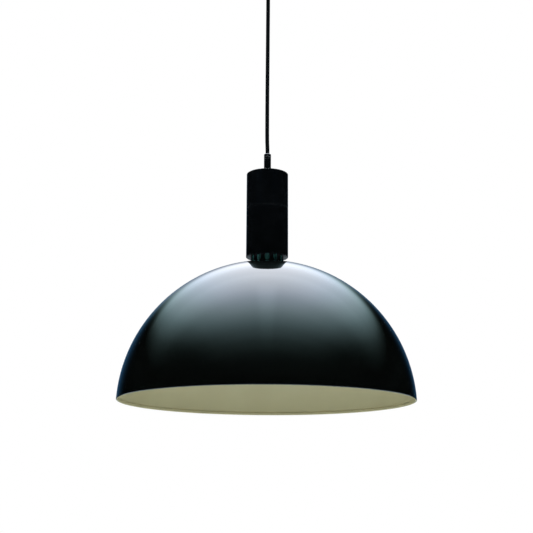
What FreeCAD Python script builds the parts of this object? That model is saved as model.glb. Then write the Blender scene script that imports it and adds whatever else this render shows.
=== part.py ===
"""Pendant ceiling light: a spun half-sphere shade under a two-part fluted housing, hung on its cord.

Millimetres, +Z up. The origin is the middle of the mounting plate's top face, which lies on the
ceiling, so the whole light is below Z = 0. Each piece is modelled about its own axis with its lowest
seat at its own zero, and its Placement then lifts it to its level in the light.
"""
import FreeCAD, Part
import math
import os
import re

import Sketcher
from FreeCAD import Rotation, Vector

SIZES = {
    # Cord, and how far it swings
    "cord_radius": 3.5,
    "cord_span": 324.8,
    "cord_lean": 1.1,
    "core_radius": 1.05,
    "sheath_stub": 0.5,
    "core_rise": 4.6,
    "core_bow": 5,
    "core_grip": 5,
    "swing_limit": 15,
    "pivot_depth": 3.0,
    "pivot_gap": 1.2,
    # Clearances
    "thread_gap": 0.05,
    "slip_gap": 0.2,
    "part_gap": 0.3,
    # Ceiling plate
    "plate_width": 20,
    "plate_thickness": 2,
    "ear_drop": 14,
    "ear_gap": 0.4,
    "ceiling_screw_spacing": 60,
    "ceiling_screw_hole": 2.5,
    # Canopy and its side screws
    "canopy_radius": 50,
    "canopy_wall": 1.2,
    "canopy_round": 6,
    "ceiling_gap": 0.5,
    "wiring_room": 8.5,
    "side_screw_radius": 1.95,
    "side_screw_length": 8,
    "side_screw_head": 3.6,
    "side_screw_head_height": 2.2,
    "side_screw_drop": 9,
    # Cord grip of the canopy
    "canopy_grip_height": 14,
    "canopy_flange_width": 2.8,
    "canopy_flange_height": 2.5,
    "canopy_grip_stem": 7.5,
    "clamp_screw_radius": 1.45,
    "clamp_screw_level": 7.5,
    # Thread and nuts that the grips, the housing and the lampholder share
    "tube_wall": 1.25,
    "nut_height": 3.5,
    "nut_wall": 3.1,
    # Terminal block
    "block_length": 30,
    "block_width": 17,
    "block_height": 14,
    "pole_pitch": 9.5,
    "pole_depth": 7,
    "terminal_radius": 2.5,
    "terminal_bore": 1.6,
    "terminal_length": 15,
    "terminal_screw_radius": 1.2,
    "terminal_screw_head": 1.9,
    "terminal_head_height": 1.2,
    "terminal_screw_spread": 4,
    "block_screw_radius": 1.25,
    "block_screw_head": 2.2,
    "block_head_height": 1.3,
    # Cord grip of the lamp
    "grip_height": 38.3,
    "grip_cap_height": 5.3,
    "grip_cap_web": 3.8,
    "grip_cap_wall": 1,
    "grip_chamfer": 1,
    "grip_spigot_wall": 0.5,
    "grip_ring_drop": 8.9,
    "grip_ring_width": 0.5,
    "grip_ring_depth": 0.35,
    "collet_height": 5.55,
    "collet_chamfer": 0.35,
    "grip_thread_depth": 14,
    # Fluted housing
    "housing_wall": 2.6,
    "flute_count": 36,
    "flute_radius": 1.2,
    "flute_depth": 0.9,
    "cap_height": 62.8,
    "cap_top": 3,
    "seam_gap": 1.6,
    "seam_depth": 0.6,
    "spigot_length": 10,
    "spigot_wall": 2.4,
    "sleeve_height": 86.4,
    "sleeve_floor": 3,
    "edge_chamfer": 0.4,
    "washer_margin": 0.9,
    "washer_thickness": 1,
    # Vented neck
    "vent_gap": 2.6,
    "neck_wall": 5,
    "neck_ledge": 5.3,
    "neck_exposed": 13.4,
    "neck_flange_height": 2.5,
    "slot_count": 12,
    "slot_width": 7.5,
    "slot_foot": 3.1,
    "slot_head": 0.8,
    # Shade, its ring and its screws
    "dome_radius": 250.3,
    "dome_height": 238.4,
    "shade_wall": 1,
    "seat_margin": 1.4,
    "hem_thickness": 2.2,
    "hem_height": 4.5,
    "ring_thickness": 2,
    "shade_screw_count": 3,
    "shade_screw_radius": 1.45,
    "shade_screw_length": 9,
    "shade_screw_head": 2.8,
    "shade_screw_head_height": 1.8,
    # Lampholder
    "holder_rise": 3.3,
    "skirt_wall": 2.2,
    "skirt_lip": 1,
    "skirt_lip_height": 4,
    "shell_wall": 0.6,
    "shell_recess": 4,
    "shell_length": 23.7,
    "shell_lip": 6,
    "insert_wall": 3.2,
    "insert_floor": 12,
    "contact_radius": 4,
    "contact_thickness": 0.8,
    "contact_stem": 1.5,
    "contact_height": 3.4,
    "holder_cap_overlap": 6,
    "holder_cap_side": 8,
    "holder_cap_cone": 10,
    "holder_cap_wall": 1.8,
    "holder_web": 2.5,
    "holder_boss_wall": 4,
    "holder_boss_height": 8,
    "terminal_box_length": 5,
    "terminal_box_width": 6,
    "terminal_box_height": 3.5,
    "terminal_box_start": 7,
    # Bulb
    "bulb_radius": 30,
    "bulb_blend": 35,
    "bulb_wall": 1,
    "bulb_shell_radius": 13.1,
    "bulb_shell_wall": 0.4,
    "bulb_shell_height": 19,
    "bulb_shell_slope": 1,
    "bulb_shoulder": 2.9,
    "neck_flare": 1.4,
    "glass_overlap": 3,
    "bulb_insulator_radius": 10,
    "bulb_insulator_height": 5,
    "bulb_contact_radius": 5,
    "bulb_contact_top": 4,
    "bulb_contact_height": 2,
    "stem_length": 34,
    "stem_radius": 4.5,
    "filament_drop": 9,
    "filament_radius": 8,
    "filament_wire": 0.4,
}

# Radii and levels that follow from the sizes above, from the inside out and from the ceiling down
DERIVED = {
    # Bores and threads
    "grip_bore": "cord_radius + slip_gap + thread_gap",
    "throat_radius": "grip_bore + slip_gap + thread_gap",
    "mouth_radius": "cord_radius / cos(swing_limit * 1 deg) + pivot_depth * tan(swing_limit * 1 deg)"
                    " + part_gap",
    "thread_radius": "grip_bore + tube_wall",
    "thread_bore": "thread_radius + thread_gap",
    "clear_bore": "thread_radius + slip_gap",
    "nut_corner": "thread_radius + nut_wall",
    "grip_spigot": "thread_radius + slip_gap",
    "grip_radius": "grip_spigot + grip_cap_wall",
    "collet_bore": "grip_spigot - grip_spigot_wall",
    "core_circle": "core_radius * 2 / sqrt(3) + part_gap",
    # Radii, from the bulb's shell out to the housing
    "shell_bore": "bulb_shell_radius + slip_gap * 2",
    "insert_bore": "shell_bore + shell_wall + slip_gap",
    "insert_radius": "insert_bore + insert_wall",
    "skirt_bore": "insert_radius + part_gap",
    "skirt_radius": "skirt_bore + skirt_wall",
    "skirt_flange": "skirt_radius + skirt_lip",
    "neck_inside": "skirt_flange + vent_gap",
    "neck_radius": "neck_inside + neck_wall",
    "housing_inside": "neck_radius + neck_ledge",
    "housing_radius": "housing_inside + housing_wall",
    "spigot_radius": "housing_inside - thread_gap",
    "neck_flange": "housing_inside - slip_gap * 2",
    "shade_seat": "neck_radius + seat_margin",
    "shade_hole": "neck_inside + slip_gap * 2",
    "ring_radius": "shade_seat - part_gap * 2",
    "shade_screw_circle": "neck_radius - neck_wall / 2",
    "shade_screw_angle": "180 / slot_count",
    # Ceiling
    "canopy_height": "plate_thickness + block_height + wiring_room + canopy_grip_stem",
    "canopy_inside": "canopy_radius - canopy_wall",
    "ear_face": "sqrt(canopy_inside ^ 2 - (plate_width / 2) ^ 2) - ear_gap",
    "block_foot": "-(plate_thickness + block_height)",
    "pole_level": "-(plate_thickness + pole_depth)",
    "canopy_grip_mouth": "-(canopy_height + canopy_grip_height)",
    "upper_pivot": "canopy_grip_mouth + pivot_depth",
    "ceiling_sheath_top": "canopy_grip_stem + sheath_stub - canopy_height",
    # Lamp
    "grip_top": "canopy_grip_mouth - cord_span",
    "lower_pivot": "grip_top - pivot_depth",
    "housing_top": "grip_top - grip_height",
    "sleeve_top": "housing_top - cap_height - seam_gap",
    "sleeve_bottom": "sleeve_top - sleeve_height",
    "neck_bottom": "sleeve_bottom - neck_exposed",
    "neck_height": "neck_exposed + sleeve_floor",
    "dome_centre": "dome_height - dome_radius",
    "dome_inside": "dome_radius - shade_wall",
    "seat_level": "sqrt(dome_radius ^ 2 - shade_seat ^ 2) + dome_centre",
    "rim_level": "neck_bottom - seat_level",
    "ring_level": "neck_bottom - shade_wall - ring_thickness",
    # Lampholder
    "holder_mouth": "neck_bottom + holder_rise",
    "insert_foot": "holder_mouth + shell_recess",
    "insert_cavity": "shell_length + part_gap",
    "insert_height": "insert_cavity + insert_floor",
    "insert_top": "insert_foot + insert_height",
    "holder_cap_foot": "insert_top - holder_cap_overlap",
    "skirt_height": "shell_recess + insert_height - holder_cap_overlap",
    "holder_cone_top": "holder_cap_side + holder_cap_cone",
    "holder_cap_top": "holder_cone_top + holder_boss_height",
    "holder_boss": "thread_radius + holder_boss_wall",
    "holder_boss_foot": "holder_cone_top - holder_web",
    "tube_foot": "holder_cap_foot + holder_boss_foot",
    "tube_top": "housing_top + grip_thread_depth",
    "lamp_sheath_foot": "tube_foot - sheath_stub",
    "contact_face": "insert_foot + insert_cavity - contact_height",
    # Bulb, from its lowest point up
    "bulb_neck": "bulb_shell_radius + neck_flare",
    "bulb_bend": "(bulb_radius * cos(bulb_blend * 1 deg) - bulb_neck) / (1 - cos(bulb_blend * 1 deg))",
    "bulb_neck_level": "bulb_radius + (bulb_radius + bulb_bend) * sin(bulb_blend * 1 deg)",
    "bulb_shell_foot": "bulb_neck_level + bulb_shoulder",
    "glass_tail": "bulb_shell_radius - bulb_shell_wall - slip_gap",
    "glass_top": "bulb_shell_foot + glass_overlap",
    "bulb_shell_top": "bulb_shell_foot + bulb_shell_height",
    "bulb_contact_foot": "bulb_shell_top + bulb_insulator_height",
    "bulb_length": "bulb_contact_foot + bulb_contact_height",
    "bulb_foot": "contact_face - part_gap - bulb_length",
    "stem_foot": "glass_top - stem_length",
}

SOCKET_SHARE = 0.7  # a screw's socket, as a share of its shank's radius and of its head's height
FAILED_STATES = {"Invalid", "Error"}
nodes = {}

doc = FreeCAD.newDocument("pendant_light")
sheet = doc.addObject("Spreadsheet::Sheet", "Sizes")
for row, (alias, size) in enumerate(SIZES.items(), start=1):
    sheet.set(f"A{row}", alias)
    sheet.set(f"B{row}", str(size))
    sheet.setAlias(f"B{row}", alias)
doc.recompute()


# ---------------------------------------------------------------- expressions

def ex(text):
    """An expression on the sheet, from one that uses the plain names of sizes and derived sizes."""
    def full(match):
        word = match.group(0)
        if word in DERIVED:
            return "(" + ex(DERIVED[word]) + ")"
        return "Sizes." + word if word in SIZES else word
    return re.sub(r"[A-Za-z_]+", full, str(text))


def val(text):
    """The number that such an expression comes to."""
    result = sheet.evalExpression(ex(text))
    return float(getattr(result, "Value", result))


# ---------------------------------------------------------------- sketches

def new_body(label):
    body = doc.addObject("PartDesign::Body", label)
    body.Label = label
    return body


def origin_feature(body, role):
    return next(feature for feature in body.Origin.OriginFeatures if feature.Role == role)


def new_sketch(body, role, level=0):
    """An empty sketch on one of the body's own origin planes, or that far in front of it."""
    sketch = body.newObject("Sketcher::SketchObject", "Sketch")
    sketch.AttachmentSupport = (origin_feature(body, role), "")
    sketch.MapMode = "FlatFace"
    sketch.setExpression("AttachmentOffset.Base.z", ex(level))
    return sketch


def bind(sketch, kind, geometry, end, text):
    """Hold one coordinate of a sketch point to an expression."""
    index = sketch.addConstraint(Sketcher.Constraint(kind, -1, 1, geometry, end, val(text)))
    sketch.setExpression(f"Constraints[{index}]", ex(text))


def draw_circle(sketch, across, up, radius):
    """Draw a circle, its centre and radius bound to expressions."""
    circle = Part.Circle(Vector(val(across), val(up), 0), Vector(0, 0, 1), val(radius))
    geometry = sketch.addGeometry(circle)
    bind(sketch, "DistanceX", geometry, 3, across)
    bind(sketch, "DistanceY", geometry, 3, up)
    index = sketch.addConstraint(Sketcher.Constraint("Radius", geometry, val(radius)))
    sketch.setExpression(f"Constraints[{index}]", ex(radius))


def arc_centre(start, end, across, up):
    """The centre of an arc between two points, from the one of its coordinates that is given."""
    (x0, y0), (x1, y1) = start, end
    if across is not None:
        x = val(across)
        return x, ((x1 - x) ** 2 - (x0 - x) ** 2 + y1 ** 2 - y0 ** 2) / (2 * (y1 - y0))
    y = val(up)
    return ((y1 - y) ** 2 - (y0 - y) ** 2 + x1 ** 2 - x0 ** 2) / (2 * (x1 - x0)), y


def draw(sketch, outline, arcs=None):
    """Draw a closed outline, every corner bound to its two expressions.

    arcs maps the number of a stretch to its centre's two coordinates, one of them None because the
    stretch's ends settle it, and to whether the stretch runs anticlockwise.
    """
    arcs = arcs or {}
    corners = [(val(x), val(y)) for x, y in outline]
    starts = []
    ends = []
    for number, start in enumerate(corners):
        end = corners[(number + 1) % len(corners)]
        if number in arcs:
            across, up, anticlockwise = arcs[number]
            cx, cy = arc_centre(start, end, across, up)
            circle = Part.Circle(Vector(cx, cy, 0), Vector(0, 0, 1), math.dist((cx, cy), start))
            first, last = (start, end) if anticlockwise else (end, start)
            angles = [math.atan2(y - cy, x - cx) for x, y in (first, last)]
            index = sketch.addGeometry(Part.ArcOfCircle(circle, *angles))
            starts.append((index, 1 if anticlockwise else 2))
            ends.append((index, 2 if anticlockwise else 1))
        else:
            index = sketch.addGeometry(Part.LineSegment(Vector(*start, 0), Vector(*end, 0)))
            starts.append((index, 1))
            ends.append((index, 2))
    for number, (index, end) in enumerate(ends):
        following = starts[(number + 1) % len(starts)]
        sketch.addConstraint(Sketcher.Constraint("Coincident", index, end, *following))
    for (index, end), (x, y) in zip(starts, outline):
        bind(sketch, "DistanceX", index, end, x)
        bind(sketch, "DistanceY", index, end, y)
    for number, (across, up, _) in arcs.items():
        kind, text = ("DistanceX", across) if across is not None else ("DistanceY", up)
        bind(sketch, kind, starts[number][0], 3, text)


# ---------------------------------------------------------------- features

def lathe(label, outline, arcs=None):
    """A body turned about Z from an outline of radii and heights."""
    body = new_body(label)
    sketch = new_sketch(body, "XZ_Plane")
    draw(sketch, outline, arcs)
    turned = body.newObject("PartDesign::Revolution", "Revolution")
    turned.Profile = sketch
    turned.ReferenceAxis = (sketch, ["V_Axis"])
    turned.Angle = 360
    doc.recompute()
    return body


def ring(label, inner, outer, height):
    """A plain turned ring or tube that stands on its own zero."""
    return lathe(label, [(inner, 0), (outer, 0), (outer, height), (inner, height)])


def pad(body, sketch, length, midplane=False):
    feature = body.newObject("PartDesign::Pad", "Pad")
    feature.Profile = sketch
    feature.Midplane = midplane
    feature.setExpression("Length", ex(length))
    doc.recompute()


def round_edges(body, radius, height):
    """The names of the round edges at a radius and height about the body's own axis."""
    wanted = val(radius), val(height)
    names = []
    for number, edge in enumerate(body.Tip.Shape.Edges, start=1):
        curve = edge.Curve
        if isinstance(curve, Part.Circle) and math.dist((curve.Radius, curve.Center.z), wanted) < 1e-4:
            names.append(f"Edge{number}")
    return names


def soften(body, kind, size, names):
    """Fillet or chamfer named edges of the body."""
    base = body.Tip
    feature = body.newObject(f"PartDesign::{kind}", kind)
    feature.Base = (base, names)
    feature.setExpression("Radius" if kind == "Fillet" else "Size", ex(size))
    doc.recompute()


def pocket(body, sketch, length=None, turned=False, midplane=False):
    """Cut a sketch out of the body, to a length or, where none is given, through all of it."""
    before = body.Shape.Volume
    cut = body.newObject("PartDesign::Pocket", "Pocket")
    cut.Profile = sketch
    cut.Reversed = turned
    cut.Midplane = midplane
    cut.Type = 1 if length is None else 0
    if length is not None:
        cut.setExpression("Length", ex(length))
    doc.recompute()
    if body.Shape.Volume >= before:
        raise RuntimeError(f"a pocket in {body.Label} cuts nothing")
    return cut


def hole(body, role, across, up, radius, length=None, turned=False, midplane=False):
    """Cut one round hole square to an origin plane."""
    sketch = new_sketch(body, role)
    draw_circle(sketch, across, up, radius)
    return pocket(body, sketch, length, turned, midplane)


def repeat_round(body, feature, count):
    """Repeat a cut round the body's own axis."""
    pattern = body.newObject("PartDesign::PolarPattern", "PolarPattern")
    pattern.Originals = [feature]
    pattern.Axis = (origin_feature(body, "Z_Axis"), [""])
    pattern.Angle = 360
    pattern.setExpression("Occurrences", ex(count))
    body.Tip = pattern
    doc.recompute()


def rod(label, radius, height):
    piece = doc.addObject("Part::Cylinder", label)
    piece.setExpression("Radius", ex(radius))
    piece.setExpression("Height", ex(height))
    return piece


def nut(name):
    """A hexagon nut for the shared thread."""
    blank = doc.addObject("Part::Prism", f"{name}_blank")
    blank.Polygon = 6
    blank.setExpression("Circumradius", ex("nut_corner"))
    blank.setExpression("Height", ex("nut_height"))
    piece = doc.addObject("Part::Cut", name)
    piece.Base = blank
    piece.Tool = rod(f"{name}_bore", "thread_bore", "nut_height")
    return piece


def screw(label, radius, length, head_radius, head_height):
    """A button-head screw that stands on its head, with a hexagon socket in the head."""
    tip = f"{head_height} + {length}"
    body = lathe(label, [
        (0, 0),
        (head_radius, 0),
        (head_radius, head_height),
        (radius, head_height),
        (radius, tip),
        (0, tip),
    ])
    soften(body, "Fillet", f"{head_height} / 2", round_edges(body, head_radius, 0))
    sketch = new_sketch(body, "XY_Plane")
    corner = f"{radius} * {SOCKET_SHARE}"
    draw(sketch, [(f"{corner} * cos({turn} * 1 deg)", f"{corner} * sin({turn} * 1 deg)")
                  for turn in range(0, 360, 60)])
    pocket(body, sketch, f"{head_height} * {SOCKET_SHARE}", turned=True)
    return body


# ---------------------------------------------------------------- placing

def seat(piece, z=0, x=0, y=0, turn=None):
    """Put a piece in its place, its position bound to the sheet."""
    if turn is not None:
        piece.Placement.Rotation = turn
    for axis, text in (("x", x), ("y", y), ("z", z)):
        piece.setExpression(f"Placement.Base.{axis}", ex(text))
    return piece


def node(name, piece):
    """Keep a piece as a node of the part."""
    piece.Label = name
    nodes[name] = piece


def group(name, pieces):
    """Keep several equal pieces as one node of separate solids."""
    compound = doc.addObject("Part::Compound", name)
    compound.Links = pieces
    node(name, compound)


# ---------------------------------------------------------------- tubes along a route

def route(points):
    """Straight runs joined by tangent arcs as large as the runs allow, and the arcs' radii."""
    points = [Vector(*point) for point in points]
    edges = []
    radii = []
    last = points[0]
    for before, corner, after in zip(points, points[1:], points[2:]):
        back = (before - corner).normalize()
        ahead = (after - corner).normalize()
        half_turn = (math.pi - back.getAngle(ahead)) / 2
        reach = 0.45 * min(before.distanceToPoint(corner), after.distanceToPoint(corner))
        radius = reach / math.tan(half_turn)
        start = corner + back * reach
        end = corner + ahead * reach
        middle = corner + (back + ahead).normalize() * (radius / math.cos(half_turn) - radius)
        edges.append(Part.LineSegment(last, start).toShape())
        edges.append(Part.Arc(start, middle, end).toShape())
        radii.append(radius)
        last = end
    edges.append(Part.LineSegment(last, points[-1]).toShape())
    return Part.Wire(edges), radii


def tube(name, points, radius):
    """A round cord or core along a route, its volume checked against its section and length."""
    path, radii = route(points)
    start = path.Edges[0]
    ahead = start.tangentAt(start.FirstParameter)
    section = Part.Wire([Part.Circle(Vector(*points[0]), ahead, radius).toShape()])
    solid = path.makePipeShell([section], True, False)
    expected = math.pi * radius ** 2 * path.Length
    if abs(solid.Volume - expected) > 0.01 * expected:
        raise RuntimeError(f"{name}: volume {solid.Volume:.1f}, expected {expected:.1f}")
    print(f"{name}: length {path.Length:.1f} mm, bend radii {[round(r, 1) for r in radii]} mm")
    piece = doc.addObject("Part::Feature", name)
    piece.Shape = solid
    node(name, piece)


# ---------------------------------------------------------------- ceiling plate and canopy

def mounting_plate():
    """A steel strap, with an ear bent down at each end for the canopy's side screws."""
    body = new_body("mounting_plate")
    sketch = new_sketch(body, "XZ_Plane")
    inner_face = "ear_face - plate_thickness"
    draw(sketch, [
        ("-ear_face", 0),
        ("-ear_face", "-ear_drop"),
        (f"-({inner_face})", "-ear_drop"),
        (f"-({inner_face})", "-plate_thickness"),
        (inner_face, "-plate_thickness"),
        (inner_face, "-ear_drop"),
        ("ear_face", "-ear_drop"),
        ("ear_face", 0),
    ])
    pad(body, sketch, "plate_width", midplane=True)
    bends = [f"Edge{number}" for number, edge in enumerate(body.Tip.Shape.Edges, start=1)
             if math.dist((abs(edge.CenterOfMass.x), edge.CenterOfMass.z), (val("ear_face"), 0)) < 1e-4]
    soften(body, "Fillet", "plate_thickness", bends)
    for across in ("ceiling_screw_spacing / 2", "-ceiling_screw_spacing / 2"):
        hole(body, "XY_Plane", across, 0, "ceiling_screw_hole")
    for across in ("pole_pitch / 2", "-pole_pitch / 2"):
        hole(body, "XY_Plane", across, 0, "block_screw_radius + thread_gap")
    hole(body, "YZ_Plane", 0, "-side_screw_drop", "side_screw_radius + thread_gap", "canopy_radius * 2",
         midplane=True)
    node("mounting_plate", body)


def canopy():
    """The round cup that hides the wiring, and the two screws that hold it to the plate's ears."""
    body = lathe("canopy", [
        ("clear_bore", 0),
        ("canopy_radius", 0),
        ("canopy_radius", "canopy_height - ceiling_gap"),
        ("canopy_inside", "canopy_height - ceiling_gap"),
        ("canopy_inside", "canopy_wall"),
        ("clear_bore", "canopy_wall"),
    ])
    soften(body, "Fillet", "canopy_round", round_edges(body, "canopy_radius", 0))
    soften(body, "Fillet", "canopy_round - canopy_wall", round_edges(body, "canopy_inside", "canopy_wall"))
    hole(body, "YZ_Plane", 0, "canopy_height - side_screw_drop", "side_screw_radius + part_gap",
         "canopy_radius * 3", midplane=True)
    node("canopy", seat(body, "-canopy_height"))

    screws = []
    for number, (across, pitch) in enumerate((("canopy_radius + side_screw_head_height", -90),
                                              ("-(canopy_radius + side_screw_head_height)", 90))):
        piece = screw(f"side_screw_{number}", "side_screw_radius", "side_screw_length",
                      "side_screw_head", "side_screw_head_height")
        screws.append(seat(piece, "-side_screw_drop", x=across, turn=Rotation(Vector(0, 1, 0), pitch)))
    group("canopy_screws", screws)


def canopy_cord_grip():
    """The threaded outlet under the canopy, its nut and the screw that clamps the cord in it."""
    flange_foot = "canopy_grip_height - canopy_flange_height"
    stem_top = "canopy_grip_height + canopy_grip_stem"
    body = lathe("canopy_grip", [
        ("mouth_radius", 0),
        ("grip_radius", 0),
        ("grip_radius", flange_foot),
        ("grip_radius + canopy_flange_width", flange_foot),
        ("grip_radius + canopy_flange_width", "canopy_grip_height"),
        ("thread_radius", "canopy_grip_height"),
        ("thread_radius", stem_top),
        ("grip_bore", stem_top),
        ("grip_bore", "pivot_depth + pivot_gap"),
        ("throat_radius", "pivot_depth + pivot_gap"),
        ("throat_radius", "pivot_depth"),
    ])
    soften(body, "Chamfer", "grip_chamfer", round_edges(body, "grip_radius", 0))
    hole(body, "XZ_Plane", 0, "clamp_screw_level", "clamp_screw_radius + thread_gap", "grip_radius * 2")
    node("canopy_grip", seat(body, "canopy_grip_mouth"))
    node("canopy_grip_nut", seat(nut("canopy_grip_nut"), "canopy_wall - canopy_height"))

    length = "grip_radius - cord_radius"
    body = lathe("canopy_grip_screw", [
        (0, 0),
        ("clamp_screw_radius", 0),
        ("clamp_screw_radius", length),
        (0, length),
    ])
    hole(body, "XY_Plane", 0, 0, "clamp_screw_radius / 2", f"({length}) / 2", turned=True)
    node("canopy_grip_screw", seat(body, "canopy_grip_mouth + clamp_screw_level", y="grip_radius",
                                   turn=Rotation(Vector(1, 0, 0), 90)))

    sheath_foot = "upper_pivot + pivot_gap"
    sheath = rod("ceiling_cord_end", "cord_radius", f"ceiling_sheath_top - ({sheath_foot})")
    node("ceiling_cord_end", seat(sheath, sheath_foot))


# ---------------------------------------------------------------- terminal block

POLES = ("-pole_pitch", "0", "pole_pitch")
BETWEEN_POLES = ("-pole_pitch / 2", "pole_pitch / 2")
SPREADS = ("-terminal_screw_spread", "terminal_screw_spread")


def terminal_block():
    """A three-pole block that stands upside down under the plate, and its two screws."""
    body = new_body("terminal_block")
    sketch = new_sketch(body, "XY_Plane")
    draw(sketch, [
        ("-block_length / 2", "-block_width / 2"),
        ("block_length / 2", "-block_width / 2"),
        ("block_length / 2", "block_width / 2"),
        ("-block_length / 2", "block_width / 2"),
    ])
    pad(body, sketch, "block_height")
    pole_height = "block_height - pole_depth"
    for pole in POLES:
        hole(body, "XZ_Plane", pole, pole_height, "terminal_radius + thread_gap", "block_width * 2",
             midplane=True)
        for spread in SPREADS:
            hole(body, "XY_Plane", pole, spread, "terminal_screw_head + slip_gap", pole_height, turned=True)
    for across in BETWEEN_POLES:
        hole(body, "XY_Plane", across, 0, "block_screw_radius + slip_gap", turned=True)
    node("terminal_block", seat(body, "block_foot"))

    screws = []
    for number, across in enumerate(BETWEEN_POLES):
        piece = screw(f"block_screw_{number}", "block_screw_radius", "block_height + plate_thickness / 2",
                      "block_screw_head", "block_head_height")
        screws.append(seat(piece, "block_foot - block_head_height", x=across))
    group("block_screws", screws)


def terminals():
    """The block's brass tubes and, from below, the two screws in each."""
    tubes = []
    screws = []
    for pole_number, pole in enumerate(POLES):
        body = ring(f"terminal_tube_{pole_number}", "terminal_bore", "terminal_radius", "terminal_length")
        for spread in SPREADS:
            hole(body, "XZ_Plane", 0, f"terminal_length / 2 + {spread}", "terminal_screw_radius + thread_gap",
                 "terminal_radius * 2", turned=True)
            tip = "block_height - pole_depth - core_radius - thread_gap * 2"
            piece = lathe(f"terminal_screw_{len(screws)}", [
                (0, 0),
                ("terminal_screw_head", 0),
                ("terminal_screw_head", "terminal_head_height"),
                ("terminal_screw_radius", "terminal_head_height"),
                ("terminal_screw_radius", tip),
                (0, tip),
            ])
            screws.append(seat(piece, "block_foot", x=pole, y=spread))
        tubes.append(seat(body, "pole_level", x=pole, y="terminal_length / 2",
                          turn=Rotation(Vector(1, 0, 0), 90)))
    group("terminal_tubes", tubes)
    group("terminal_screws", screws)


def core_start(number, level):
    """Where a core leaves the cord's sheath: the three stand round the cord's middle."""
    angle = math.radians(150 + 120 * number)
    return val("core_circle") * math.cos(angle), val("core_circle") * math.sin(angle), level


def ceiling_cores():
    """The cord's three cores, from its sheath round to the front of the terminal block."""
    top = val("ceiling_sheath_top")
    crossing = val("ceiling_sheath_top + core_rise")
    front = -val("block_width / 2 + core_bow")
    level = val("pole_level")
    inner = val("core_grip / 2 - terminal_length / 2")
    for number, name in enumerate(("ceiling_live_core", "ceiling_earth_core", "ceiling_neutral_core")):
        pole = val(POLES[number])
        points = [
            core_start(number, top),
            core_start(number, crossing),
            (pole, front, crossing),
            (pole, front, level),
            (pole, inner, level),
        ]
        tube(name, points, val("core_radius"))


# ---------------------------------------------------------------- cord

def cord():
    """The cord, pulled straight by the lamp but for a slight set where it leaves the lamp's grip."""
    foot, top = val("lower_pivot"), val("upper_pivot")
    lean = val("cord_lean")
    points = [(0, 0, foot), (0, 0, foot + 12), (-lean, 0, foot + 36), (0, 0, top - 30), (0, 0, top)]
    tube("cord", points, val("cord_radius"))


# ---------------------------------------------------------------- cord grip of the lamp

def lamp_cord_grip():
    """The slim tube on the housing, with the collet and the screw cap that hold the cord in it."""
    shoulder = "grip_height - grip_cap_height - thread_gap * 2"
    spigot_top = "grip_height - grip_cap_web - thread_gap * 2"
    collet_foot = "grip_height - grip_cap_web - slip_gap / 2 - collet_height"
    ring_level = "grip_height - grip_ring_drop"
    body = lathe("grip_body", [
        ("thread_bore", 0),
        ("grip_radius", 0),
        ("grip_radius", f"{ring_level} - grip_ring_width / 2"),
        ("grip_radius - grip_ring_depth", f"{ring_level} - grip_ring_width / 2"),
        ("grip_radius - grip_ring_depth", f"{ring_level} + grip_ring_width / 2"),
        ("grip_radius", f"{ring_level} + grip_ring_width / 2"),
        ("grip_radius", shoulder),
        ("grip_spigot", shoulder),
        ("grip_spigot", spigot_top),
        ("collet_bore", spigot_top),
        ("collet_bore", collet_foot),
        ("grip_bore", collet_foot),
        ("grip_bore", "grip_thread_depth + slip_gap"),
        ("thread_bore", "grip_thread_depth + slip_gap"),
    ])
    node("grip_body", seat(body, "housing_top"))

    cap_bore = "grip_spigot + thread_gap"
    web_foot = "grip_cap_height - grip_cap_web"
    body = lathe("grip_cap", [
        (cap_bore, 0),
        ("grip_radius", 0),
        ("grip_radius", "grip_cap_height"),
        ("mouth_radius", "grip_cap_height"),
        ("throat_radius", "grip_cap_height - pivot_depth"),
        ("throat_radius", web_foot),
        (cap_bore, web_foot),
    ])
    soften(body, "Chamfer", "grip_chamfer", round_edges(body, "grip_radius", "grip_cap_height"))
    node("grip_cap", seat(body, "grip_top - grip_cap_height"))

    collet_radius = "collet_bore - thread_gap"
    body = ring("grip_collet", "cord_radius + thread_gap / 2", collet_radius, "collet_height")
    soften(body, "Chamfer", "collet_chamfer", round_edges(body, collet_radius, "collet_height"))
    node("grip_collet", seat(body, f"housing_top + {collet_foot}"))

    body = ring("threaded_tube", "grip_bore", "thread_radius", "tube_top - tube_foot")
    node("threaded_tube", seat(body, "tube_foot"))
    sheath = rod("lamp_cord_end", "cord_radius", "lower_pivot - pivot_gap - lamp_sheath_foot")
    node("lamp_cord_end", seat(sheath, "lamp_sheath_foot"))


# ---------------------------------------------------------------- housing

def flute(body, foot):
    """Round channels down the outside of a housing part, from its top down to a level."""
    sketch = new_sketch(body, "XY_Plane", foot)
    draw_circle(sketch, 0, "flute_depth - flute_radius - housing_radius", "flute_radius")
    repeat_round(body, pocket(body, sketch, turned=True), "flute_count")


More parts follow.
